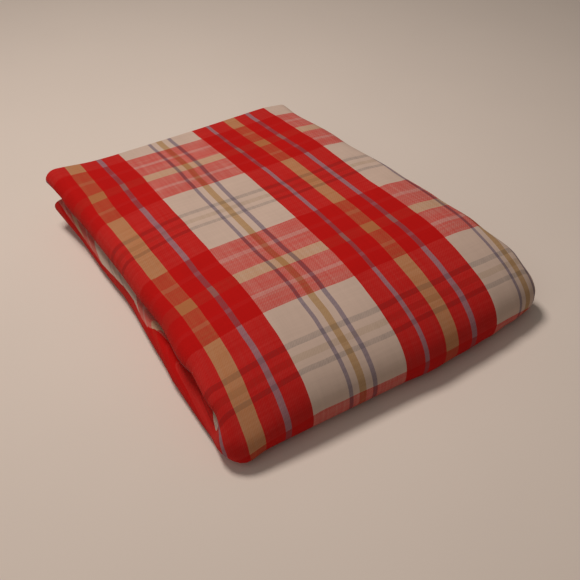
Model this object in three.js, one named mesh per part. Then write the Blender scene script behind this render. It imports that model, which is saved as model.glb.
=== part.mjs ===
// A plaid cotton bedspread, folded into a flat pack and resting on a level surface.
// Units are millimetres. X runs to the right along the round front fold, Y runs from that fold to the back,
// and Z is up. The origin is on the surface, under the middle of the pack. The sizes below are measured from
// another point on that surface, and PACK_MIDDLE is the middle's place seen from there.
//
// One cloth of about 2.2 by 1.3 m is doubled along its length, so that two plies lie together, then halved
// three times across its width, and last folded over at the front. That gives an upper and a lower half of
// 16 plies each, which the outermost ply wraps as one smooth face.

import * as THREE from "three";

// Cloth
const CLOTH_THICKNESS = 1.0;
const PLIES_IN_HALF = 16;

// Side view of the outer face: back edge, brow where the top begins to fall, nose, and foot of the nose
const BACK = { y: 192, z: 47.6, slope: 0.09, handle: 93 };
const BROW = { y: -98, z: 61.4, slope: 0.141, backHandle: 47, frontHandle: 48 };
const NOSE = { y: -173.2, z: 17, upperHandle: 21.8, lowerHandle: 13.4 };
const FOOT = { y: -148, handle: 18 };

// Where the two halves meet inside the pack, from the back to the tip that the front fold goes round
const CORE_BACK_Z = 23;
const CORE_TIP = { y: -126, z: 26 };
const CORE_CLEARANCE = 1.0;
const CORE_FOLLOWS_TOP = 0.3;

// Back edges of the upper half, a fold, and of the lower half, which has the hems
const UPPER_BACK = { left: 169, right: 185 };
const LOWER_BACK = { left: 157, right: 173 };
const PACK_HALF_WIDTH = 145;
const PACK_MIDDLE = { x: 0.1, y: 4.1 };

// Left and right edges of the pack, by the distance that the outer face has run from the back of the top
const EDGES = [
  { at: 0, left: -152, right: 116 },
  { at: 40, left: -149, right: 112.5 },
  { at: 110, left: -143, right: 118 },
  { at: 190, left: -140.5, right: 128 },
  { at: 240, left: -139, right: 132 },
  { at: 290, left: -143, right: 138 },
  { at: 340, left: -147, right: 147 },
  { at: 385, left: -148.5, right: 153 },
  { at: 425, left: -149, right: 153.5 },
  { at: 470, left: -148, right: 149 },
  { at: 520, left: -144.7, right: 141 },
  { at: 585, left: -141.2, right: 134 },
  { at: 640, left: -144.2, right: 130 },
  { at: 740, left: -146, right: 124 },
];

// Unevenness of the top face: a shoulder that droops towards the left edge, a small one on the right, and
// soft swells
const LEFT_SHOULDER = { from: -78, width: 62, steepens: 1.4, limit: 1.2 };
const LEFT_DROPS = [
  { y: -150, drop: 10 },
  { y: -100, drop: 13 },
  { y: -15, drop: 14.5 },
  { y: 75, drop: 8.5 },
  { y: 160, drop: 1 },
];
const RIGHT_SHOULDER = { width: 34, drop: 3 };
const SWELLS = [
  { x: 60, y: -70, rise: 1.6, reach: 60 },
  { x: -70, y: -20, rise: -1.8, reach: 45 },
  { x: -20, y: 90, rise: 1.2, reach: 55 },
  { x: 110, y: 115, rise: 5, reach: 80 },
];

// How far the front fold reaches forward of its straight line, from left to right
const FRONT_LINE = [
  { x: -145, forward: 2 },
  { x: -110, forward: 3 },
  { x: -50, forward: 2.8 },
  { x: 0, forward: 2.8 },
  { x: 25, forward: 4 },
  { x: 60, forward: 1.5 },
  { x: 90, forward: -1 },
  { x: 115, forward: -4.5 },
  { x: 140, forward: -8 },
];
const FRONT_BEGINS = { y: -60, fullAt: -160 };

// The pack is even at the surface and fully uneven above these heights
const FLATTENS_BELOW = 12;
const UNEVEN_ABOVE = 42;

// Soft pulls on the folded pack: the stretch that is pulled, how far, and how far around it that reaches.
// They are the back left tip, the hollow at the front left, the end of the front fold and its foot.
const PULLS = [
  { from: [-146, 172, 40], to: [-146, 172, 44], reach: 30, move: [-4, 3, 4] },
  { from: [-148, -112, 24], to: [-149, -143, 22], reach: 12, move: [6, 0, 0] },
  { from: [-147, -163, 16], to: [-143, -174, 8], reach: 13, move: [-3, -2, 0] },
  { from: [-143, -178, 0], to: [-139, -178, 2], reach: 13, move: [-1, -6, 0] },
];

// The doubled cloth's way through a half, from the top layer's right-hand edge to the second layer's.
// Layers count down from the outer face, out and back say how far a turn and a back edge stand out of line.
const LEFT = -1;
const RIGHT = 1;
const FOLDS = [
  { layer: 1, turn: LEFT, out: 0, back: 0 },
  { layer: 8, turn: RIGHT, out: -2, back: -3 },
  { layer: 5, turn: LEFT, out: -1.5, back: 1 },
  { layer: 4, turn: RIGHT, out: -1.5, back: -5 },
  { layer: 3, turn: LEFT, out: -1, back: -2 },
  { layer: 6, turn: RIGHT, out: -3, back: -1 },
  { layer: 7, turn: LEFT, out: -0.5, back: -6 },
  { layer: 2, turn: RIGHT, out: 0, back: -3 },
];
const FREE_EDGE = { centreRank: 5.5, bend: 1.35, tail: 4 };

// Fineness
const RUN_STOPS = [0, 0.14, 0.55, 0.86, 1];
const LEFT_TURN_STEPS = 6;
const RIGHT_TURN_STEPS = 4;
const FREE_EDGE_STEPS = 2;
const CREASE_STEPS = 2;
const ZONE_STEPS = { top: 6, front: 8, bottom: 3 };

const CLOTH_COLOUR = 0xb5231f;

// Outer face in side view, as one path from the back of the top round the front and along the bottom
function sideProfile() {
  const back = new THREE.Vector2(BACK.y, BACK.z);
  const brow = new THREE.Vector2(BROW.y, BROW.z);
  const nose = new THREE.Vector2(NOSE.y, NOSE.z);
  const foot = new THREE.Vector2(FOOT.y, 0);
  const path = new THREE.CurvePath();
  path.add(new THREE.CubicBezierCurve(
    back,
    new THREE.Vector2(back.x - BACK.handle, back.y + BACK.handle * BACK.slope),
    new THREE.Vector2(brow.x + BROW.backHandle, brow.y + BROW.backHandle * BROW.slope),
    brow,
  ));
  path.add(new THREE.CubicBezierCurve(
    brow,
    new THREE.Vector2(brow.x - BROW.frontHandle, brow.y - BROW.frontHandle * BROW.slope),
    new THREE.Vector2(nose.x, nose.y + NOSE.upperHandle),
    nose,
  ));
  path.add(new THREE.CubicBezierCurve(
    nose,
    new THREE.Vector2(nose.x, nose.y - NOSE.lowerHandle),
    new THREE.Vector2(foot.x - FOOT.handle, 0),
    foot,
  ));
  path.add(new THREE.LineCurve(foot, new THREE.Vector2(BACK.y, 0)));
  return path;
}

const profile = sideProfile();
const lengths = profile.getCurveLengths();
const BROW_AT = lengths[0];
const FOOT_AT = lengths[2];
const PROFILE_LENGTH = lengths[3];

function smooth(t) {
  const c = Math.min(Math.max(t, 0), 1);
  return c * c * (3 - 2 * c);
}

// A column of a table at a place between its rows, eased from row to row
function alongRows(rows, column, value, at) {
  let i = 1;
  while (i < rows.length - 1 && rows[i][column] < at) i += 1;
  const from = rows[i - 1];
  const to = rows[i];
  const share = (at - from[column]) / (to[column] - from[column]);
  return from[value] + (to[value] - from[value]) * smooth(share);
}

// Height added to the top face by its drooping shoulders and its soft swells
function unevenness(x, y, right) {
  const across = (LEFT_SHOULDER.from - x) / LEFT_SHOULDER.width;
  const droop = Math.min(Math.max(across, 0), LEFT_SHOULDER.limit) ** LEFT_SHOULDER.steepens;
  let rise = -alongRows(LEFT_DROPS, "y", "drop", y) * droop;
  rise -= RIGHT_SHOULDER.drop * smooth(1 - (right - x) / RIGHT_SHOULDER.width);
  for (const swell of SWELLS) {
    const distance = Math.hypot(x - swell.x, y - swell.y) / swell.reach;
    rise += swell.rise * Math.exp(-distance * distance);
  }
  return rise;
}

// Frame at a place on the outer face: the point itself, the way inwards and the spacing of the plies
function frameAt(x, at, right) {
  const point = profile.getPoint(Math.min(at / PROFILE_LENGTH, 1));
  const outer = { y: point.x, z: point.y };
  const weight = smooth((outer.z - FLATTENS_BELOW) / (UNEVEN_ABOVE - FLATTENS_BELOW));
  const backward = Math.max((outer.y - CORE_TIP.y) / (BACK.y - CORE_TIP.y), 0);
  const core = {
    y: Math.max(outer.y, CORE_TIP.y),
    z: CORE_TIP.z + (CORE_BACK_Z - CORE_TIP.z) * backward,
  };
  core.z += CORE_FOLLOWS_TOP * unevenness(x, core.y, right);
  outer.z += weight * unevenness(x, outer.y, right);
  const depth = Math.hypot(core.y - outer.y, core.z - outer.z);
  const inward = { y: (core.y - outer.y) / depth, z: (core.z - outer.z) / depth };
  const pitch = (depth - CORE_CLEARANCE - CLOTH_THICKNESS) / (PLIES_IN_HALF - 1);
  return { outer, inward, pitch };
}

// Rank of a doubled layer's middle, counted in plies from the outer face
function rankOf(layer) {
  return 2 * layer - 1.5;
}

// Stops across the cloth, from the top layer's free edge to the second layer's
function stopsAcross() {
  const stops = [];
  for (let step = FREE_EDGE_STEPS + 1; step > 0; step -= 1) {
    stops.push({ kind: "free", fold: 0, step });
  }
  FOLDS.forEach((fold, index) => {
    const towardsLeft = index % 2 === 0;
    const order = towardsLeft ? RUN_STOPS : [...RUN_STOPS].reverse();
    for (const t of order) stops.push({ kind: "run", fold: index, t });
    if (index === FOLDS.length - 1) return;
    const steps = fold.turn === LEFT ? LEFT_TURN_STEPS : RIGHT_TURN_STEPS;
    for (let step = 1; step < steps; step += 1) {
      stops.push({ kind: "turn", fold: index, angle: (Math.PI * step) / steps });
    }
  });
  for (let step = 1; step <= FREE_EDGE_STEPS + 1; step += 1) {
    stops.push({ kind: "free", fold: FOLDS.length - 1, step });
  }
  return stops;
}

// Centres of the turns at a distance along: the outermost turn just reaches the pack's edge
function turnCentres(at) {
  const left = alongRows(EDGES, "at", "left", at);
  const right = alongRows(EDGES, "at", "right", at);
  const leftPitch = frameAt(left, at, right).pitch;
  const rightPitch = frameAt(right, at, right).pitch;
  const leftRadius = leftPitch * (PLIES_IN_HALF - 1) / 2 + CLOTH_THICKNESS / 2;
  const rightRadius = rightPitch * FREE_EDGE.centreRank + CLOTH_THICKNESS / 2;
  return { right, leftCentre: left + leftRadius, rightCentre: right - rightRadius };
}

// How far the end of a layer stands out of line on one side: its own turn is there, or the one before it
function outAt(index, side) {
  const fold = FOLDS[index].turn === side ? FOLDS[index] : FOLDS[index - 1];
  return fold ? fold.out : 0;
}

// Place across the pack: x and rank of the doubled layer's middle and its outward direction there
function placeAcross(stop, at) {
  const { right, leftCentre, rightCentre } = turnCentres(at);
  const fold = FOLDS[stop.fold];
  const rank = rankOf(fold.layer);
  if (stop.kind === "run") {
    const from = rightCentre + outAt(stop.fold, RIGHT);
    const to = leftCentre - outAt(stop.fold, LEFT);
    const x = from + (to - from) * stop.t;
    const frame = frameAt(x, at, right);
    const facing = stop.fold % 2 === 0 ? -1 : 1;
    return { frame, x, depth: frame.pitch * rank, nx: 0, nd: facing };
  }
  if (stop.kind === "turn") {
    const nextRank = rankOf(FOLDS[stop.fold + 1].layer);
    const centre = fold.turn === LEFT ? leftCentre - fold.out : rightCentre + fold.out;
    const frame = frameAt(centre, at, right);
    const radius = (frame.pitch * Math.abs(nextRank - rank)) / 2;
    const inwards = Math.sign(nextRank - rank);
    const sin = Math.sin(stop.angle);
    const cos = Math.cos(stop.angle);
    return {
      frame,
      x: centre + fold.turn * radius * sin,
      depth: (frame.pitch * (rank + nextRank)) / 2 - inwards * radius * cos,
      nx: -inwards * sin,
      nd: fold.turn * cos,
    };
  }
  const frame = frameAt(rightCentre, at, right);
  const radius = frame.pitch * (FREE_EDGE.centreRank - rank);
  const angle = FREE_EDGE.bend * Math.min(stop.step / FREE_EDGE_STEPS, 1);
  const tail = stop.step > FREE_EDGE_STEPS ? FREE_EDGE.tail : 0;
  const facing = stop.fold === 0 ? 1 : -1;
  return {
    frame,
    x: rightCentre + radius * Math.sin(angle) + tail * Math.cos(angle),
    depth: frame.pitch * FREE_EDGE.centreRank - radius * Math.cos(angle) + tail * Math.sin(angle),
    nx: facing * Math.sin(angle),
    nd: -facing * Math.cos(angle),
  };
}

// Stops along the cloth: inner ply from its hem to the back fold, the fold, and the outer ply to its hem
function stopsAlong() {
  const zones = [
    { from: "back", to: BROW_AT, steps: ZONE_STEPS.top },
    { from: BROW_AT, to: FOOT_AT, steps: ZONE_STEPS.front },
    { from: FOOT_AT, to: "hem", steps: ZONE_STEPS.bottom },
  ];
  const outerPly = [];
  for (const zone of zones) {
    for (let step = zone.from === "back" ? 0 : 1; step <= zone.steps; step += 1) {
      outerPly.push({ angle: 0, from: zone.from, to: zone.to, t: step / zone.steps });
    }
  }
  const innerPly = outerPly.map((stop) => ({ ...stop, angle: Math.PI })).reverse();
  const crease = [];
  for (let step = 1; step < CREASE_STEPS; step += 1) {
    const angle = Math.PI * (1 - step / CREASE_STEPS);
    crease.push({ ...outerPly[0], angle });
  }
  return [...innerPly, ...crease, ...outerPly];
}

// How far along the outer face a stop lies, for a layer whose back edges stand out of line
function distanceAlong(stop, x, standsOut) {
  const across = (x + PACK_HALF_WIDTH) / (2 * PACK_HALF_WIDTH);
  const upper = BACK.y - UPPER_BACK.left - (UPPER_BACK.right - UPPER_BACK.left) * across;
  const lower = BACK.y - LOWER_BACK.left - (LOWER_BACK.right - LOWER_BACK.left) * across;
  if (stop.from === "back" && stop.t === 0) return upper - standsOut;
  if (stop.to === "hem" && stop.t === 1) return PROFILE_LENGTH - lower + standsOut;
  const from = stop.from === "back" ? upper : stop.from;
  const to = stop.to === "hem" ? PROFILE_LENGTH - lower : stop.to;
  return from + (to - from) * stop.t;
}

// How far a stop's layer stands out of line at the back, shared between two layers in a turn
function standsOutAt(stop) {
  const own = FOLDS[stop.fold].back;
  if (stop.kind !== "turn") return own;
  return own + (FOLDS[stop.fold + 1].back - own) * (stop.angle / Math.PI);
}

// The place of a point once the front fold is out of line and the soft pulls have moved it
function settled(point) {
  const front = smooth((FRONT_BEGINS.y - point.y) / (FRONT_BEGINS.y - FRONT_BEGINS.fullAt));
  point.y -= front * alongRows(FRONT_LINE, "x", "forward", point.x);
  for (const pull of PULLS) {
    const stretch = new THREE.Line3(new THREE.Vector3(...pull.from), new THREE.Vector3(...pull.to));
    const nearest = stretch.closestPointToPoint(point, true, new THREE.Vector3());
    const distance = nearest.distanceTo(point) / pull.reach;
    point.addScaledVector(new THREE.Vector3(...pull.move), Math.exp(-distance * distance));
  }
  return point;
}

// A point on one face of the cloth
function clothPoint(across, along, face) {
  const roughly = placeAcross(across, distanceAlong(along, 0, 0));
  const standsOut = standsOutAt(across);
  const at = distanceAlong(along, roughly.x, standsOut);
  const spot = placeAcross(across, at);
  const fromMiddle = spot.frame.pitch / 2 + (face * CLOTH_THICKNESS) / 2;
  const offset = fromMiddle * Math.cos(along.angle);
  const behind = fromMiddle * Math.sin(along.angle);
  const frame = placeAcross(across, at - behind).frame;
  const depth = CLOTH_THICKNESS / 2 + spot.depth + offset * spot.nd;
  return settled(new THREE.Vector3(
    spot.x + offset * spot.nx,
    frame.outer.y + frame.inward.y * depth,
    frame.outer.z + frame.inward.z * depth,
  ));
}

// The cloth as one closed body: two faces over the same grid of stops, joined along the four edges
function clothGeometry() {
  const across = stopsAcross();
  const along = stopsAlong();
  const positions = [];
  for (const face of [1, -1]) {
    for (const row of across) {
      for (const column of along) positions.push(...clothPoint(row, column, face).toArray());
    }
  }
  const rows = across.length;
  const columns = along.length;
  const corner = (face, row, column) => (face * rows + row) * columns + column;
  const triangles = [];
  const quad = (a, b, c, d) => triangles.push(a, c, b, a, d, c);
  for (let row = 0; row < rows - 1; row += 1) {
    for (let column = 0; column < columns - 1; column += 1) {
      const upper = [
        corner(0, row, column),
        corner(0, row, column + 1),
        corner(0, row + 1, column + 1),
        corner(0, row + 1, column),
      ];
      const lower = [
        corner(1, row, column),
        corner(1, row + 1, column),
        corner(1, row + 1, column + 1),
        corner(1, row, column + 1),
      ];
      // Every layer is split along the same diagonal in space, so that stacked layers stay parallel
      const mirrored = (across[row].fold % 2 === 1) !== (along[column].angle > 0);
      for (const [a, b, c, d] of [upper, lower]) {
        if (mirrored) quad(b, c, d, a);
        else quad(a, b, c, d);
      }
    }
  }
  for (let row = 0; row < rows - 1; row += 1) {
    quad(corner(0, row, 0), corner(0, row + 1, 0), corner(1, row + 1, 0), corner(1, row, 0));
    const last = columns - 1;
    quad(corner(0, row, last), corner(1, row, last), corner(1, row + 1, last), corner(0, row + 1, last));
  }
  for (let column = 0; column < columns - 1; column += 1) {
    quad(corner(0, 0, column), corner(1, 0, column), corner(1, 0, column + 1), corner(0, 0, column + 1));
    const last = rows - 1;
    quad(
      corner(0, last, column),
      corner(0, last, column + 1),
      corner(1, last, column + 1),
      corner(1, last, column),
    );
  }
  const geometry = new THREE.BufferGeometry();
  geometry.setAttribute("position", new THREE.Float32BufferAttribute(positions, 3));
  geometry.setIndex(triangles);
  geometry.computeVertexNormals();
  return geometry;
}

function bedspread() {
  const material = new THREE.MeshStandardMaterial({ color: CLOTH_COLOUR, roughness: 0.95, metalness: 0 });
  const cloth = new THREE.Mesh(clothGeometry(), material);
  cloth.name = "bedspread_cloth";
  cloth.position.set(-PACK_MIDDLE.x, -PACK_MIDDLE.y, 0);
  const group = new THREE.Group();
  group.add(cloth);
  return group;
}

export default bedspread();
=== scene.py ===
"""A plaid cotton bedspread, folded into a flat pack and lying on a pale floor.

The cloth is one sheet. It is doubled along its length, halved three times across its width and folded over
once more at the front, so each half of the pack holds 16 plies. Lengths are in millimetres until a mesh is
made, or in metres where a heading says so. X runs to the right along the round front fold, Y from that fold
to the back, and Z is up.
"""

import bpy
import numpy as np
from mathutils import Matrix, Vector


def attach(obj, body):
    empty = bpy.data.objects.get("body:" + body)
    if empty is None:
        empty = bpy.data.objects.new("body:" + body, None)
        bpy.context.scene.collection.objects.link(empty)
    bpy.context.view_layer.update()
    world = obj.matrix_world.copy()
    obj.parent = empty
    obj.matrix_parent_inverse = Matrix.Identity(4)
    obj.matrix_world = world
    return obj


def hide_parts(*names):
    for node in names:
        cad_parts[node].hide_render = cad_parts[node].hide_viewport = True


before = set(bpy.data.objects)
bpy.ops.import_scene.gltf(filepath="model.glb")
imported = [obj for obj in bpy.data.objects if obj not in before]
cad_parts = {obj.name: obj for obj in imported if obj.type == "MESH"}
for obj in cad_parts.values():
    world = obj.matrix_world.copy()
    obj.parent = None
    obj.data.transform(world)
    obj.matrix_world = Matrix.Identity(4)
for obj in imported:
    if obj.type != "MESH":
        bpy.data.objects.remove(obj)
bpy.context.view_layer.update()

MM = 0.001

# Cloth: its thickness, and the plies in each half of the pack
CLOTH_THICKNESS = 1.0
PLIES_IN_HALF = 16

# Side view of the outer face: back edge, brow where the top begins to fall, nose, and foot of the nose
BACK = {"y": 192, "z": 47.6, "slope": 0.09, "handle": 93}
BROW = {"y": -98, "z": 61.4, "slope": 0.141, "back_handle": 47, "front_handle": 48}
NOSE = {"y": -173.2, "z": 17, "upper_handle": 21.8, "lower_handle": 13.4}
FOOT = {"y": -148, "handle": 18}

# Where the two halves meet inside the pack, from the back to the tip that the front fold goes round, the
# room that each half leaves there, and the share of the top's unevenness that this follows
CORE_BACK_Z = 23
CORE_TIP = {"y": -126, "z": 26}
CORE_CLEARANCE = 1.0
CORE_FOLLOWS_TOP = 0.3

# Back edges of the upper half, a fold, and of the lower half, which has the hems, and half the width of the
# pack over which they slant
UPPER_BACK = {"left": 169, "right": 185}
LOWER_BACK = {"left": 157, "right": 173}
PACK_HALF_WIDTH = 145

# Middle of the pack, which goes to the origin
PACK_MIDDLE = {"x": 0.1, "y": 4.1}

# Left and right edges of the pack, by the distance that the outer face has run from the back of the top
EDGES = [
    {"at": 0, "left": -152, "right": 116},
    {"at": 40, "left": -149, "right": 112.5},
    {"at": 110, "left": -143, "right": 118},
    {"at": 190, "left": -140.5, "right": 128},
    {"at": 240, "left": -139, "right": 132},
    {"at": 290, "left": -143, "right": 138},
    {"at": 340, "left": -147, "right": 147},
    {"at": 385, "left": -148.5, "right": 153},
    {"at": 425, "left": -149, "right": 153.5},
    {"at": 470, "left": -148, "right": 149},
    {"at": 520, "left": -144.7, "right": 141},
    {"at": 585, "left": -141.2, "right": 134},
    {"at": 640, "left": -144.2, "right": 130},
    {"at": 740, "left": -146, "right": 124},
]

# Unevenness of the top face: a shoulder that droops towards the left edge, a small one on the right, and
# soft swells
LEFT_SHOULDER = {"from": -78, "width": 62, "steepens": 1.4, "limit": 1.2}
LEFT_DROPS = [
    {"y": -150, "drop": 10},
    {"y": -100, "drop": 13},
    {"y": -15, "drop": 14.5},
    {"y": 75, "drop": 8.5},
    {"y": 160, "drop": 1},
]
RIGHT_SHOULDER = {"width": 34, "drop": 3}
SWELLS = [
    {"x": 60, "y": -70, "rise": 1.6, "reach": 60},
    {"x": -70, "y": -20, "rise": -1.8, "reach": 45},
    {"x": -20, "y": 90, "rise": 1.2, "reach": 55},
    {"x": 110, "y": 115, "rise": 5, "reach": 80},
]

# How far the front fold reaches forward of its straight line, from left to right, and where on the way to
# the front that begins and is in full
FRONT_LINE = [
    {"x": -145, "forward": 2},
    {"x": -110, "forward": 3},
    {"x": -50, "forward": 2.8},
    {"x": 0, "forward": 2.8},
    {"x": 25, "forward": 4},
    {"x": 60, "forward": 1.5},
    {"x": 90, "forward": -1},
    {"x": 115, "forward": -4.5},
    {"x": 140, "forward": -8},
]
FRONT_BEGINS = {"y": -60, "full_at": -160}

# The pack is even at the floor and fully uneven above these heights
FLATTENS_BELOW = 12
UNEVEN_ABOVE = 42

# Soft pulls on the folded pack: the stretch that is pulled, how far, and how far around it that reaches. In
# order: the back left tip, the recess under it, the tip below that, the hollow at the front left, the left
# end of the front fold and its foot.
PULLS = [
    {"from": (-146, 172, 40), "to": (-146, 172, 44), "reach": 30, "move": (-4, 3, 4)},
    {"from": (-150, 146, 28), "to": (-150, 178, 30), "reach": 10, "move": (6, 0, 3)},
    {"from": (-148, 150, 12), "to": (-148, 168, 12), "reach": 18, "move": (-6, 2, 10)},
    {"from": (-148, -112, 24), "to": (-149, -143, 22), "reach": 12, "move": (8, 0, 0)},
    {"from": (-147, -163, 16), "to": (-143, -174, 8), "reach": 13, "move": (-3, -2, 0)},
    {"from": (-143, -178, 0), "to": (-139, -178, 2), "reach": 13, "move": (-1, -6, 0)},
]

# The doubled cloth's way through a half, from the top layer's right-hand edge to the second layer's.
# Layers count inwards from the outer face. Out and back say how far a turn and a back edge stand out of line.
LEFT = -1
RIGHT = 1
FOLDS = [
    {"layer": 1, "turn": LEFT, "out": 0, "back": 0},
    {"layer": 8, "turn": RIGHT, "out": -2, "back": -3},
    {"layer": 5, "turn": LEFT, "out": -1.5, "back": 1},
    {"layer": 4, "turn": RIGHT, "out": -1.5, "back": -5},
    {"layer": 3, "turn": LEFT, "out": -1, "back": -2},
    {"layer": 6, "turn": RIGHT, "out": -3, "back": -1},
    {"layer": 7, "turn": LEFT, "out": -0.5, "back": -6},
    {"layer": 2, "turn": RIGHT, "out": 0, "back": -3},
]

# The cloth's two free edges, on the right: the rank round which they bend inwards, the angle in radians that
# they bend through, and the straight tail after that
FREE_EDGE = {"centre_rank": 5.5, "bend": 1.35, "tail": 4}

# The plies under the outermost one lie this much deeper, so that its creases don't reach them
SLACK_UNDER_OUTER_PLY = 2.0

# Fineness: stretches of a run as (share of the run where it ends, steps), and steps elsewhere
OUTER_RUN = ((0.14, 10), (0.72, 30), (1.0, 24))
HIDDEN_RUN = ((0.14, 4), (0.86, 7), (1.0, 4))
OUTER_TURN_STEPS = 18
INNER_TURN_STEPS = 7
FREE_EDGE_STEPS = 5
CREASE_STEPS = 6
OUTER_PLY_STEPS = {"top": 66, "front": 54, "bottom": 14}
INNER_PLY_STEPS = {"top": 22, "front": 18, "bottom": 8}

# Edges of the mesh that turn by more than this, in degrees, are shaded sharp, as the rim's are
SHARP_ABOVE = 60

# Plaid, in the order in which the threads lie. The warp repeat starts at the left edge of a cream block and
# the weft repeat at the back edge of a red one.
PLAID_START_X = -80
PLAID_START_AT = 36.2
WARP_SETT = [
    {"yarn": "cream", "width": 29.0},
    {"yarn": "blue", "width": 3.8},
    {"yarn": "cream", "width": 4.9},
    {"yarn": "ochre", "width": 6.0},
    {"yarn": "cream", "width": 6.0},
    {"yarn": "blue", "width": 3.8},
    {"yarn": "cream", "width": 27.5},
    {"yarn": "red", "width": 16.7},
    {"yarn": "mauve", "width": 4.4},
    {"yarn": "red", "width": 17.0},
    {"yarn": "tan", "width": 12.8},
    {"yarn": "red", "width": 14.3},
    {"yarn": "mauve", "width": 4.4},
    {"yarn": "red", "width": 18.1},
]
WEFT_SETT = [
    {"yarn": "red", "width": 16.8},
    {"yarn": "rose", "width": 4.4},
    {"yarn": "red", "width": 17.0},
    {"yarn": "tan", "width": 12.0},
    {"yarn": "red", "width": 16.1},
    {"yarn": "rose", "width": 4.4},
    {"yarn": "red", "width": 14.8},
    {"yarn": "cream", "width": 31.0},
    {"yarn": "grey", "width": 4.6},
    {"yarn": "cream", "width": 6.2},
    {"yarn": "pale_ochre", "width": 5.0},
    {"yarn": "cream", "width": 5.2},
    {"yarn": "grey", "width": 4.6},
    {"yarn": "cream", "width": 30.4},
]
YARN_COLOURS = {
    "red": "#b7100e",
    "cream": "#c6b0a2",
    "tan": "#ad6d44",
    "ochre": "#a6835a",
    "pale_ochre": "#a08b74",
    "blue": "#7c6f7a",
    "mauve": "#8a5966",
    "grey": "#7d7470",
    "rose": "#bb3434",
}

# Surface of the cotton: matt, with a short fuzz whose colour lies between the red and the cream yarns'
COTTON_SURFACE = {
    "Roughness": 0.9,
    "Specular IOR Level": 0.1,
    "Sheen Weight": 0.06,
    "Sheen Roughness": 0.5,
}
FUZZ_COLOUR = "#d08a76"

# How far the stripes that run from the back to the front lie to the right of where the sett puts them, by
# the place across the plaid, at the places along it that follow: from the back of the top round the front
# fold to the back of the underside
STRIPES_DRIFT = [
    {"u": -75, "back": -9, "middle": -9, "brow": -6, "front": -4, "under": 14, "farther": 14, "end": -2},
    {"u": -46, "back": -2.5, "middle": -2, "brow": 0.5, "front": -5, "under": 0, "farther": 0, "end": 0},
    {"u": -18, "back": 0, "middle": 0, "brow": 0, "front": -2, "under": 0, "farther": 0, "end": 0},
    {"u": 52, "back": 1.5, "middle": -1, "brow": 0, "front": 0, "under": 0, "farther": 0, "end": 0},
    {"u": 100, "back": -3, "middle": 1.5, "brow": -1, "front": 0, "under": 0, "farther": 0, "end": 0},
    {"u": 146, "back": -4, "middle": 0, "brow": 0, "front": 0, "under": 0, "farther": 0, "end": 0},
    {"u": 170, "back": -2.5, "middle": 0, "brow": 4, "front": 6, "under": 0, "farther": 0, "end": 0},
    {"u": 210, "back": -3, "middle": 1, "brow": 4, "front": 5, "under": 0, "farther": 0, "end": 0},
]
DRIFT_PLACES = {
    "back": 20, "middle": 150, "brow": 250, "front": 330, "under": 430, "farther": 555, "end": 610,
}

# Weave: a twill in which each warp thread passes over three weft threads and under one. The shares say how
# much of the colour that shows is the warp's there, because the threads are thin enough to glow through.
# Real threads of this kind lie about 0.4 mm apart, too fine to show, so they are drawn 0.6 mm apart.
THREAD_SPACING = 0.6
TWILL_REPEAT = 4
WARP_SHARE = {"over": 0.75, "under": 0.64}
THREAD_RELIEF = {"height": 0.1, "strength": 0.4}

# Unevenness of the weaving: how far the lines of the plaid wander and over what lengths, how much more of a
# yarn shows where it is thick and how much brighter it is there, and how mottled the dye is, as a share of
# the brightness
WANDER = {"by": 5, "along": 60, "across": 180}
SLUBS = {"by": 0.3, "bright": 0.12, "along": 50, "across": 2.2}
MOTTLING = {"by": 0.22, "size": 45}

# Finer unevenness within each soft grain, in octaves
GRAIN_DETAIL = 2.0

# Camera, where the photograph's was: its place, the way it looks and the picture's own up
CAMERA_PLACE = (-285.2, -461.5, 438.0)
CAMERA_LOOKS = (0.4083, 0.6355, -0.6553)
CAMERA_UP = (0.3326, 0.5650, 0.7551)
CAMERA_LENS = 47.73
CAMERA_SENSOR = 36.0

# Floor: half its width, in metres
FLOOR_HALF_WIDTH = 6.0

# Paint of the floor: matt, and a little cloudy
PAINT_SURFACE = {
    "Roughness": 0.9,
    "Specular IOR Level": 0.2,
}
PAINT_COLOUR = "#ddd3ca"
PAINT_CLOUDS = {"by": 0.05, "size": 160}

# Light, in metres: a soft lamp high behind the pack, a little to its left, a wide weak one over the camera's
# left shoulder, and the room's own light
LIGHTS = {
    "key": {"place": (-0.28, 0.57, 1.46), "size": 0.45, "spread": 110, "watts": 5.9, "colour": "#fff3ea"},
    "fill": {"place": (-1.1, -0.5, 1.25), "size": 1.6, "spread": 180, "watts": 4.0, "colour": "#fff3ea"},
}
ROOM_COLOUR = "#f2e6da"
ROOM_STRENGTH = 0.14


def smooth(t):
    """A soft step from 0 to 1, while its argument goes from 0 to 1."""
    c = np.clip(t, 0, 1)
    return c * c * (3 - 2 * c)


def bezier(points, steps=400):
    """Points along a curve from the first point to the last, which the two between them pull."""
    t = np.linspace(0, 1, steps + 1)[:, None]
    a, b, c, d = (np.array(p, float) for p in points)
    return a * (1 - t) ** 3 + 3 * b * t * (1 - t) ** 2 + 3 * c * t * t * (1 - t) + d * t ** 3


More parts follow.
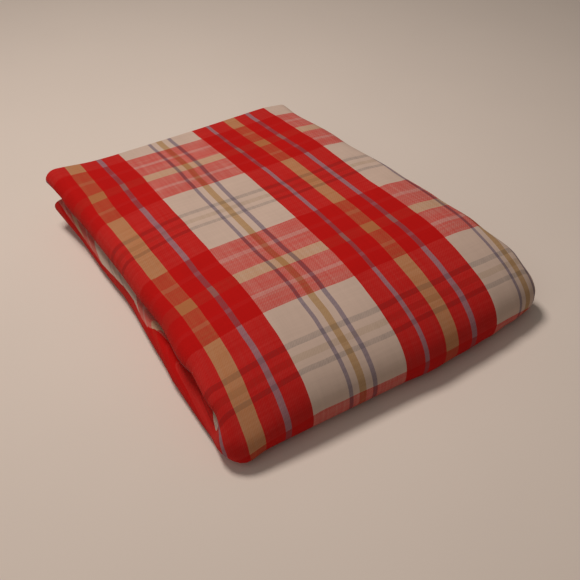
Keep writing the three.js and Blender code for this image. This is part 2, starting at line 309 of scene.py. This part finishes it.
def side_profile():
    """The outer face in side view: the distance run along it, y and z, and where its zones begin."""
    back = np.array((BACK["y"], BACK["z"]), float)
    brow = np.array((BROW["y"], BROW["z"]), float)
    nose = np.array((NOSE["y"], NOSE["z"]), float)
    foot = np.array((FOOT["y"], 0), float)
    slope = np.array((1, BROW["slope"]))
    stretches = [
        bezier((
            back,
            back + BACK["handle"] * np.array((-1, BACK["slope"])),
            brow + BROW["back_handle"] * slope,
            brow,
        )),
        bezier((
            brow,
            brow - BROW["front_handle"] * slope,
            nose + (0, NOSE["upper_handle"]),
            nose,
        )),
        bezier((
            nose,
            nose - (0, NOSE["lower_handle"]),
            foot - (FOOT["handle"], 0),
            foot,
        )),
        np.array((foot, (BACK["y"], 0))),
    ]
    lengths = [np.linalg.norm(np.diff(s, axis=0), axis=1) for s in stretches]
    ends = np.cumsum([length.sum() for length in lengths])
    points = np.concatenate([stretches[0]] + [s[1:] for s in stretches[1:]])
    run = np.concatenate([[0], np.cumsum(np.concatenate(lengths))])
    brow_at, _, foot_at, end_at = ends
    return {
        "run": run,
        "y": points[:, 0],
        "z": points[:, 1],
        "brow": brow_at,
        "foot": foot_at,
        "end": end_at,
    }


PROFILE = side_profile()


def along_rows(rows, column, value, at):
    """A column of a table at a place between its rows, eased from row to row."""
    stops = np.array([row[column] for row in rows], float)
    values = np.array([row[value] for row in rows], float)
    i = np.clip(np.searchsorted(stops, at), 1, len(stops) - 1)
    share = smooth((at - stops[i - 1]) / (stops[i] - stops[i - 1]))
    return values[i - 1] + (values[i] - values[i - 1]) * share


def unevenness(x, y, right):
    """Height added to the top face by its drooping shoulders and its soft swells."""
    droop = np.clip((LEFT_SHOULDER["from"] - x) / LEFT_SHOULDER["width"], 0, LEFT_SHOULDER["limit"])
    rise = -along_rows(LEFT_DROPS, "y", "drop", y) * droop ** LEFT_SHOULDER["steepens"]
    rise = rise - RIGHT_SHOULDER["drop"] * smooth(1 - (right - x) / RIGHT_SHOULDER["width"])
    for swell in SWELLS:
        distance = np.hypot(x - swell["x"], y - swell["y"]) / swell["reach"]
        rise = rise + swell["rise"] * np.exp(-distance * distance)
    return rise


def frame_at(x, at, right):
    """The outer face's point, the way inwards and the spacing of the plies at a place."""
    run = np.clip(at, 0, PROFILE["end"])
    y = np.interp(run, PROFILE["run"], PROFILE["y"])
    z = np.interp(run, PROFILE["run"], PROFILE["z"])
    weight = smooth((z - FLATTENS_BELOW) / (UNEVEN_ABOVE - FLATTENS_BELOW))
    backward = np.maximum((y - CORE_TIP["y"]) / (BACK["y"] - CORE_TIP["y"]), 0)
    core_y = np.maximum(y, CORE_TIP["y"])
    core_z = CORE_TIP["z"] + (CORE_BACK_Z - CORE_TIP["z"]) * backward
    core_z = core_z + CORE_FOLLOWS_TOP * unevenness(x, core_y, right)
    z = z + weight * unevenness(x, y, right)
    depth = np.hypot(core_y - y, core_z - z)
    pitch = (depth - CORE_CLEARANCE - CLOTH_THICKNESS) / (PLIES_IN_HALF - 1)
    return {"y": y, "z": z, "in_y": (core_y - y) / depth, "in_z": (core_z - z) / depth, "pitch": pitch}


def rank_of(layer):
    """Rank of a doubled layer's middle, counted in plies inwards from the outermost ply's middle."""
    return 2 * (layer - 1) + 0.5


def depth_of(rank, pitch):
    """Depth of a rank under the outer face. The plies under the outermost layer lie a little deeper."""
    last = PLIES_IN_HALF - 1
    slack = SLACK_UNDER_OUTER_PLY * (last - rank) / last
    return pitch * rank + slack * smooth((rank - rank_of(1)) / (rank_of(2) - rank_of(1)))


def turn_centres(at):
    """Centres of the turns at a distance along: the outermost turn just reaches the pack's edge."""
    left = along_rows(EDGES, "at", "left", at)
    right = along_rows(EDGES, "at", "right", at)
    left_pitch = frame_at(left, at, right)["pitch"]
    right_pitch = frame_at(right, at, right)["pitch"]
    left_radius = left_pitch * (PLIES_IN_HALF - 1) / 2 + CLOTH_THICKNESS / 2
    right_radius = right_pitch * FREE_EDGE["centre_rank"] + CLOTH_THICKNESS / 2
    return right, left + left_radius, right - right_radius


def out_at(index, side):
    """How far the end of a layer stands out of line on one side: its own turn is there, or the one before."""
    if FOLDS[index]["turn"] == side:
        return FOLDS[index]["out"]
    return FOLDS[index - 1]["out"] if index else 0


def place_across(stop, at):
    """Place across the pack: x and depth of the doubled layer's middle and its outward direction there."""
    right, left_centre, right_centre = turn_centres(at)
    index = stop["fold"]
    fold = FOLDS[index]
    rank = rank_of(fold["layer"])
    if stop["kind"] == "run":
        start = right_centre + out_at(index, RIGHT)
        end = left_centre - out_at(index, LEFT)
        x = start + (end - start) * stop["share"]
        spot = frame_at(x, at, right)
        facing = -1 if index % 2 == 0 else 1
        return spot | {"x": x, "depth": depth_of(rank, spot["pitch"]), "nx": 0, "nd": facing}
    if stop["kind"] == "turn":
        next_rank = rank_of(FOLDS[index + 1]["layer"])
        centre = left_centre - fold["out"] if fold["turn"] == LEFT else right_centre + fold["out"]
        spot = frame_at(centre, at, right)
        depths = depth_of(rank, spot["pitch"]), depth_of(next_rank, spot["pitch"])
        radius = abs(depths[1] - depths[0]) / 2
        inwards = np.sign(next_rank - rank)
        sine, cosine = np.sin(stop["angle"]), np.cos(stop["angle"])
        return spot | {
            "x": centre + fold["turn"] * radius * sine,
            "depth": (depths[0] + depths[1]) / 2 - inwards * radius * cosine,
            "nx": -inwards * sine,
            "nd": fold["turn"] * cosine,
        }
    spot = frame_at(right_centre, at, right)
    centre_depth = depth_of(FREE_EDGE["centre_rank"], spot["pitch"])
    radius = centre_depth - depth_of(rank, spot["pitch"])
    angle = FREE_EDGE["bend"] * min(stop["step"] / FREE_EDGE_STEPS, 1)
    tail = FREE_EDGE["tail"] if stop["step"] > FREE_EDGE_STEPS else 0
    sine, cosine = np.sin(angle), np.cos(angle)
    facing = 1 if index == 0 else -1
    return spot | {
        "x": right_centre + radius * sine + tail * cosine,
        "depth": centre_depth - radius * cosine + tail * sine,
        "nx": facing * sine,
        "nd": -facing * cosine,
    }


def shares(stretches):
    """Shares of a run from 0 to 1, finer in some stretches than in others."""
    values = [0.0]
    for end, steps in stretches:
        values.extend(np.linspace(values[-1], end, steps + 1)[1:])
    return values


def stops_across():
    """Stops across the cloth, from the top layer's free edge to the second layer's."""
    stops = [{"kind": "free", "fold": 0, "step": step} for step in range(FREE_EDGE_STEPS + 1, 0, -1)]
    for index, fold in enumerate(FOLDS):
        run = shares(OUTER_RUN if index == 0 else HIDDEN_RUN)
        for share in run if index % 2 == 0 else run[::-1]:
            stops.append({"kind": "run", "fold": index, "share": share})
        if index < len(FOLDS) - 1:
            steps = OUTER_TURN_STEPS if index == 0 else INNER_TURN_STEPS
            for step in range(1, steps):
                stops.append({"kind": "turn", "fold": index, "angle": np.pi * step / steps})
    last = len(FOLDS) - 1
    stops += [{"kind": "free", "fold": last, "step": step} for step in range(1, FREE_EDGE_STEPS + 2)]
    return stops


def ply_stops(steps):
    """Zone and share of each stop along one ply, from its back edge on top to the one below."""
    stops = [("top", 0.0)]
    for zone in ("top", "front", "bottom"):
        stops += [(zone, step / steps[zone]) for step in range(1, steps[zone] + 1)]
    return stops


def stops_along():
    """Stops along the cloth: the inner ply from its hem to the back fold, the fold, and the outer ply."""
    inner = [(zone, share, np.pi) for zone, share in reversed(ply_stops(INNER_PLY_STEPS))]
    fold = [("top", 0.0, np.pi * (1 - step / CREASE_STEPS)) for step in range(1, CREASE_STEPS)]
    outer = [(zone, share, 0.0) for zone, share in ply_stops(OUTER_PLY_STEPS)]
    zones, place, angles = zip(*(inner + fold + outer))
    return {"zone": np.array(zones), "share": np.array(place), "angle": np.array(angles)}


def distance_along(along, x, stands_out):
    """Distance along the outer face of each stop, for a layer whose back edges stand out of line."""
    across = (x + PACK_HALF_WIDTH) / (2 * PACK_HALF_WIDTH)
    upper = BACK["y"] - UPPER_BACK["left"] - (UPPER_BACK["right"] - UPPER_BACK["left"]) * across
    lower = BACK["y"] - LOWER_BACK["left"] - (LOWER_BACK["right"] - LOWER_BACK["left"]) * across
    zone, share = along["zone"], along["share"]
    hem = PROFILE["end"] - lower
    top = upper + (PROFILE["brow"] - upper) * share
    front = PROFILE["brow"] + (PROFILE["foot"] - PROFILE["brow"]) * share
    bottom = PROFILE["foot"] + (hem - PROFILE["foot"]) * share
    at = np.where(zone == "top", top, np.where(zone == "front", front, bottom))
    at = at - np.where((zone == "top") & (share == 0), stands_out, 0)
    return at + np.where((zone == "bottom") & (share == 1), stands_out, 0)


def stands_out_at(stop):
    """How far a stop's layer stands out of line at the back, shared between two layers in a turn."""
    own = FOLDS[stop["fold"]]["back"]
    if stop["kind"] != "turn":
        return own
    return own + (FOLDS[stop["fold"] + 1]["back"] - own) * stop["angle"] / np.pi


def cloth_row(across, along, face):
    """A row of points across all stops along the cloth, on one face of it or, with face 0, in its middle."""
    roughly = place_across(across, distance_along(along, 0, 0))
    at = distance_along(along, roughly["x"], stands_out_at(across))
    spot = place_across(across, at)
    from_middle = spot["pitch"] / 2 + face * CLOTH_THICKNESS / 2
    offset = from_middle * np.cos(along["angle"])
    behind = from_middle * np.sin(along["angle"])
    there = place_across(across, at - behind)
    depth = CLOTH_THICKNESS / 2 + spot["depth"] + offset * spot["nd"]
    return np.stack([
        spot["x"] + offset * spot["nx"],
        there["y"] + there["in_y"] * depth,
        there["z"] + there["in_z"] * depth,
    ], axis=-1)


def settled(points):
    """The folded cloth with its front fold out of line and its soft pulls."""
    x, y = points[..., 0], points[..., 1]
    front = smooth((FRONT_BEGINS["y"] - y) / (FRONT_BEGINS["y"] - FRONT_BEGINS["full_at"]))
    points = points - (front * along_rows(FRONT_LINE, "x", "forward", x))[..., None] * (0, 1, 0)
    for pull in PULLS:
        start, end = np.array(pull["from"], float), np.array(pull["to"], float)
        stretch = end - start
        share = np.clip((points - start) @ stretch / (stretch @ stretch), 0, 1)
        distance = np.linalg.norm(points - start - share[..., None] * stretch, axis=-1) / pull["reach"]
        points = points + np.exp(-distance * distance)[..., None] * pull["move"]
    return points


def cloth_points(across, along, face):
    """The points of one face of the cloth, or with face 0 of its middle, as it lies."""
    return settled(np.array([cloth_row(row, along, face) for row in across]))


def thread_places(across, along):
    """Where each stop lies on the woven cloth, in millimetres across and along its plaid."""
    middle = cloth_points(across, along, 0)
    steps = np.linalg.norm(np.diff(middle, axis=0), axis=2)
    u = np.concatenate([np.zeros((1, middle.shape[1])), np.cumsum(steps, axis=0)])
    run = [i for i, stop in enumerate(across) if stop["kind"] == "run" and stop["fold"] == 0]
    for column in range(middle.shape[1]):
        x = middle[run, column, 0][::-1]
        start = np.interp(PLAID_START_X, x, u[run, column][::-1])
        u[:, column] = start - u[:, column]
    steps = np.linalg.norm(np.diff(middle, axis=1), axis=2)
    v = np.concatenate([np.zeros((middle.shape[0], 1)), np.cumsum(steps, axis=1)], axis=1)
    brow = int(np.flatnonzero((along["angle"] == 0) & (along["zone"] == "top") & (along["share"] == 1))[0])
    v += PROFILE["brow"] - PLAID_START_AT - v[:, brow:brow + 1]
    return u - stripes_drift(u, v), v


def stripes_drift(u, v):
    """How far the stripes lie to the right of where the sett puts them, at a place on the cloth."""
    names = list(DRIFT_PLACES)
    drift = along_rows(STRIPES_DRIFT, "u", names[0], u)
    for here, there in zip(names, names[1:]):
        reached = smooth((v - DRIFT_PLACES[here]) / (DRIFT_PLACES[there] - DRIFT_PLACES[here]))
        change = along_rows(STRIPES_DRIFT, "u", there, u) - along_rows(STRIPES_DRIFT, "u", here, u)
        drift = drift + reached * change
    return drift


def cloth_faces(rows, columns):
    """Corner numbers of the two faces' squares, and of the rim's, as one closed skin."""
    number = np.arange(2 * rows * columns).reshape(2, rows, columns)
    upper, lower = number
    squares = [
        np.stack([upper[:-1, :-1], upper[1:, :-1], upper[1:, 1:], upper[:-1, 1:]], -1).reshape(-1, 4),
        np.stack([lower[:-1, :-1], lower[:-1, 1:], lower[1:, 1:], lower[1:, :-1]], -1).reshape(-1, 4),
    ]
    around = [
        (upper[:, 0][::-1], lower[:, 0][::-1]),
        (upper[:, -1], lower[:, -1]),
        (upper[0, :], lower[0, :]),
        (upper[-1, :][::-1], lower[-1, :][::-1]),
    ]
    rims = [np.stack([a[:-1], a[1:], b[1:], b[:-1]], -1) for a, b in around]
    return np.concatenate(squares), np.concatenate(rims)


def bedspread_mesh():
    """The cloth as one closed skin. Its UV map says where each corner lies among the threads, in metres."""
    across = stops_across()
    along = stops_along()
    points = np.concatenate([cloth_points(across, along, face).reshape(-1, 3) for face in (1, -1)])
    points = (points - (PACK_MIDDLE["x"], PACK_MIDDLE["y"], 0)) * MM
    squares, rims = cloth_faces(len(across), len(along["angle"]))
    mesh = bpy.data.meshes.new("bedspread_cloth_woven")
    mesh.from_pydata(points.tolist(), [], np.concatenate([squares, rims]).tolist())
    u, v = (np.concatenate([place.ravel()] * 2) * MM for place in thread_places(across, along))
    corners = np.zeros(len(mesh.loops), np.int32)
    mesh.loops.foreach_get("vertex_index", corners)
    threads = mesh.uv_layers.new(name="threads")
    threads.data.foreach_set("uv", np.stack([u[corners], v[corners]], -1).astype(np.float32).ravel())
    mesh.shade_smooth()
    mesh.set_sharp_from_angle(angle=np.radians(SHARP_ABOVE))
    mesh.validate()
    return mesh


def linear(colour):
    """A linear colour from an sRGB hex value."""
    values = [int(colour[i:i + 2], 16) / 255 for i in (1, 3, 5)]
    return (*(v / 12.92 if v <= 0.04045 else ((v + 0.055) / 1.055) ** 2.4 for v in values), 1.0)


def add(tree, kind, inputs, **settings):
    """A node with its settings, and its inputs by name or number: values, or nodes and outputs to link."""
    node = tree.nodes.new(kind)
    for name, value in settings.items():
        setattr(node, name, value)
    for key, value in inputs.items():
        if isinstance(value, bpy.types.Node):
            value = next(output for output in value.outputs if output.enabled)
        if isinstance(value, bpy.types.NodeSocket):
            tree.links.new(value, node.inputs[key])
        else:
            node.inputs[key].default_value = value
    return node


def soft_grain(tree, place, size, seed):
    """A soft unevenness from -0.5 to 0.5, with its grain as long and as wide as the sizes say, in metres."""
    scale = [1 / side for side in size] + [1]
    stretched = add(tree, "ShaderNodeVectorMath", {0: place, 1: scale}, operation="MULTIPLY")
    grain = {"Vector": stretched, "W": seed, "Scale": 1.0, "Detail": GRAIN_DETAIL}
    noise = add(tree, "ShaderNodeTexNoise", grain, noise_dimensions="4D")
    return add(tree, "ShaderNodeMath", {0: noise, 1: 0.5}, operation="SUBTRACT")


def sett_colours(tree, sett, place):
    """The colour of the thread at a place along a sett, which repeats."""
    repeat = sum(stripe["width"] for stripe in sett)
    repeats = add(tree, "ShaderNodeMath", {0: place, 1: repeat * MM}, operation="DIVIDE")
    share = add(tree, "ShaderNodeMath", {0: repeats}, operation="FRACT")
    node = add(tree, "ShaderNodeValToRGB", {"Fac": share})
    ramp = node.color_ramp
    ramp.interpolation = "CONSTANT"
    ramp.elements.remove(ramp.elements[1])
    reached = 0
    for i, stripe in enumerate(sett):
        stop = ramp.elements[0] if i == 0 else ramp.elements.new(reached / repeat)
        stop.position = reached / repeat
        stop.color = linear(YARN_COLOURS[stripe["yarn"]])
        reached += stripe["width"]
    return node


def wandering(tree, place, wander):
    """A place on the cloth, moved by how far its thread wanders there."""
    moved = {0: wander, 1: WANDER["by"] * MM, 2: place}
    return add(tree, "ShaderNodeMath", moved, operation="MULTIPLY_ADD")


def cotton_twill():
    """Yarn-dyed cotton, woven as a soft twill and washed often: matt, with a short fuzz that lights up at the
    edges, and the two sets of threads mix where their colours cross, unevenly as the yarns are."""
    material = bpy.data.materials.new("woven_cotton")
    material.use_nodes = True
    tree = material.node_tree
    shader = tree.nodes["Principled BSDF"]
    for name, value in COTTON_SURFACE.items():
        shader.inputs[name].default_value = value
    shader.inputs["Sheen Tint"].default_value = linear(FUZZ_COLOUR)

    threads = add(tree, "ShaderNodeUVMap", {}, uv_map="threads")
    parts = add(tree, "ShaderNodeSeparateXYZ", {"Vector": threads})
    along, across = WANDER["along"] * MM, WANDER["across"] * MM
    u = wandering(tree, parts.outputs["X"], soft_grain(tree, threads, (across, along), seed=1.0))
    v = wandering(tree, parts.outputs["Y"], soft_grain(tree, threads, (along, across), seed=2.0))

    spacing = THREAD_SPACING * MM
    across_threads = add(tree, "ShaderNodeMath", {0: u, 1: spacing}, operation="DIVIDE")
    along_threads = add(tree, "ShaderNodeMath", {0: v, 1: spacing}, operation="DIVIDE")
    warp_thread = add(tree, "ShaderNodeMath", {0: across_threads}, operation="FLOOR")
    weft_thread = add(tree, "ShaderNodeMath", {0: along_threads}, operation="FLOOR")
    step = add(tree, "ShaderNodeMath", {0: warp_thread, 1: weft_thread}, operation="ADD")
    in_repeat = add(tree, "ShaderNodeMath", {0: step, 1: TWILL_REPEAT}, operation="FLOORED_MODULO")
    over = add(tree, "ShaderNodeMath", {0: in_repeat, 1: 0.5}, operation="GREATER_THAN")

    long, thin = SLUBS["along"] * MM, SLUBS["across"] * MM
    warp_slubs = soft_grain(tree, threads, (thin, long), seed=3.0)
    weft_slubs = soft_grain(tree, threads, (long, thin), seed=4.0)
    thicker = add(tree, "ShaderNodeMath", {0: warp_slubs, 1: weft_slubs}, operation="SUBTRACT")
    more_over = WARP_SHARE["over"] - WARP_SHARE["under"]
    even_share = {0: over, 1: more_over, 2: WARP_SHARE["under"]}
    even = add(tree, "ShaderNodeMath", even_share, operation="MULTIPLY_ADD")
    share = {0: thicker, 1: SLUBS["by"], 2: even}
    warp_share = add(tree, "ShaderNodeMath", share, operation="MULTIPLY_ADD", use_clamp=True)
    weft_share = add(tree, "ShaderNodeMath", {0: 1.0, 1: warp_share}, operation="SUBTRACT")
    warp = add(tree, "ShaderNodeGamma", {"Color": sett_colours(tree, WARP_SETT, u), "Gamma": warp_share})
    weft = add(tree, "ShaderNodeGamma", {"Color": sett_colours(tree, WEFT_SETT, v), "Gamma": weft_share})
    # A mix's inputs 6 and 7 are its two colours, and 2 and 3 its two values
    crossing = {0: 1.0, 6: warp, 7: weft}
    woven = add(tree, "ShaderNodeMix", crossing, data_type="RGBA", blend_type="MULTIPLY")

    size = MOTTLING["size"] * MM
    mottling = soft_grain(tree, threads, (size, size), seed=5.0)
    cloudy = add(tree, "ShaderNodeMath", {0: mottling, 1: MOTTLING["by"], 2: 1.0}, operation="MULTIPLY_ADD")
    slubs = add(tree, "ShaderNodeMath", {0: warp_slubs, 1: weft_slubs}, operation="ADD")
    streaky = {0: slubs, 1: SLUBS["bright"], 2: cloudy}
    brightness = add(tree, "ShaderNodeMath", streaky, operation="MULTIPLY_ADD")
    dyed = add(tree, "ShaderNodeHueSaturation", {"Value": brightness, "Color": woven})
    tree.links.new(dyed.outputs[0], shader.inputs["Base Color"])

    # Each thread is rounded: a weft thread where it lies over the warp, a warp thread elsewhere
    rounds = []
    for place in (along_threads, across_threads):
        angle = add(tree, "ShaderNodeMath", {0: place, 1: np.pi}, operation="MULTIPLY")
        wave = add(tree, "ShaderNodeMath", {0: angle}, operation="SINE")
        rounds.append(add(tree, "ShaderNodeMath", {0: wave}, operation="ABSOLUTE"))
    relief = add(tree, "ShaderNodeMix", {0: over, 2: rounds[0], 3: rounds[1]}, data_type="FLOAT")
    height, strength = THREAD_RELIEF["height"] * MM, THREAD_RELIEF["strength"]
    bump = add(tree, "ShaderNodeBump", {"Strength": strength, "Distance": height, "Height": relief})
    tree.links.new(bump.outputs[0], shader.inputs["Normal"])
    return material


def make_bedspread():
    """The bedspread, which takes the place of its solid."""
    piece = bpy.data.objects.new("bedspread", bedspread_mesh())
    bpy.context.scene.collection.objects.link(piece)
    piece.data.materials.append(cotton_twill())
    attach(piece, "root")
    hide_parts("bedspread_cloth")


def make_camera():
    """The camera, turned so that the picture stands upright as the photograph does."""
    looks = Vector(CAMERA_LOOKS).normalized()
    right = looks.cross(Vector(CAMERA_UP)).normalized()
    up = right.cross(looks)
    turn = Matrix((right, up, -looks)).transposed().to_4x4()
    data = bpy.data.cameras.new("camera")
    data.lens = CAMERA_LENS
    data.sensor_width = CAMERA_SENSOR
    camera = bpy.data.objects.new("camera", data)
    camera.matrix_world = Matrix.Translation(Vector(CAMERA_PLACE) * MM) @ turn
    bpy.context.scene.collection.objects.link(camera)
    bpy.context.scene.camera = camera


def floor_paint():
    """A floor of matt pale paint, rolled on: nearly even, with a faint cloudiness."""
    material = bpy.data.materials.new("pale_floor")
    material.use_nodes = True
    tree = material.node_tree
    shader = tree.nodes["Principled BSDF"]
    for name, value in PAINT_SURFACE.items():
        shader.inputs[name].default_value = value
    place = add(tree, "ShaderNodeNewGeometry", {}).outputs["Position"]
    size = PAINT_CLOUDS["size"] * MM
    clouds = soft_grain(tree, place, (size, size), seed=6.0)
    cloudy = {0: clouds, 1: PAINT_CLOUDS["by"], 2: 1.0}
    brightness = add(tree, "ShaderNodeMath", cloudy, operation="MULTIPLY_ADD")
    paint = add(tree, "ShaderNodeHueSaturation", {"Value": brightness, "Color": linear(PAINT_COLOUR)})
    tree.links.new(paint.outputs[0], shader.inputs["Base Color"])
    return material


def make_floor():
    """A plain square floor at the height that the pack rests on."""
    mesh = bpy.data.meshes.new("floor")
    half = FLOOR_HALF_WIDTH
    corners = [(-half, -half, 0), (half, -half, 0), (half, half, 0), (-half, half, 0)]
    mesh.from_pydata(corners, [], [(0, 1, 2, 3)])
    floor = bpy.data.objects.new("floor", mesh)
    bpy.context.scene.collection.objects.link(floor)
    mesh.materials.append(floor_paint())


def make_light():
    """The lamps, aimed at the floor under the middle of the pack, and the room's own light."""
    for name, light in LIGHTS.items():
        data = bpy.data.lights.new(name, "AREA")
        data.shape = "DISK"
        data.size = light["size"]
        data.spread = np.radians(light["spread"])
        data.energy = light["watts"]
        data.color = linear(light["colour"])[:3]
        lamp = bpy.data.objects.new(name, data)
        place = Vector(light["place"])
        lamp.location = place
        lamp.rotation_euler = (-place).to_track_quat("-Z", "Y").to_euler()
        bpy.context.scene.collection.objects.link(lamp)
    world = bpy.data.worlds.new("room")
    world.use_nodes = True
    background = world.node_tree.nodes["Background"]
    background.inputs["Color"].default_value = linear(ROOM_COLOUR)
    background.inputs["Strength"].default_value = ROOM_STRENGTH
    bpy.context.scene.world = world


make_camera()
make_bedspread()
make_floor()
make_light()
bpy.context.scene.view_settings.view_transform = "Standard"
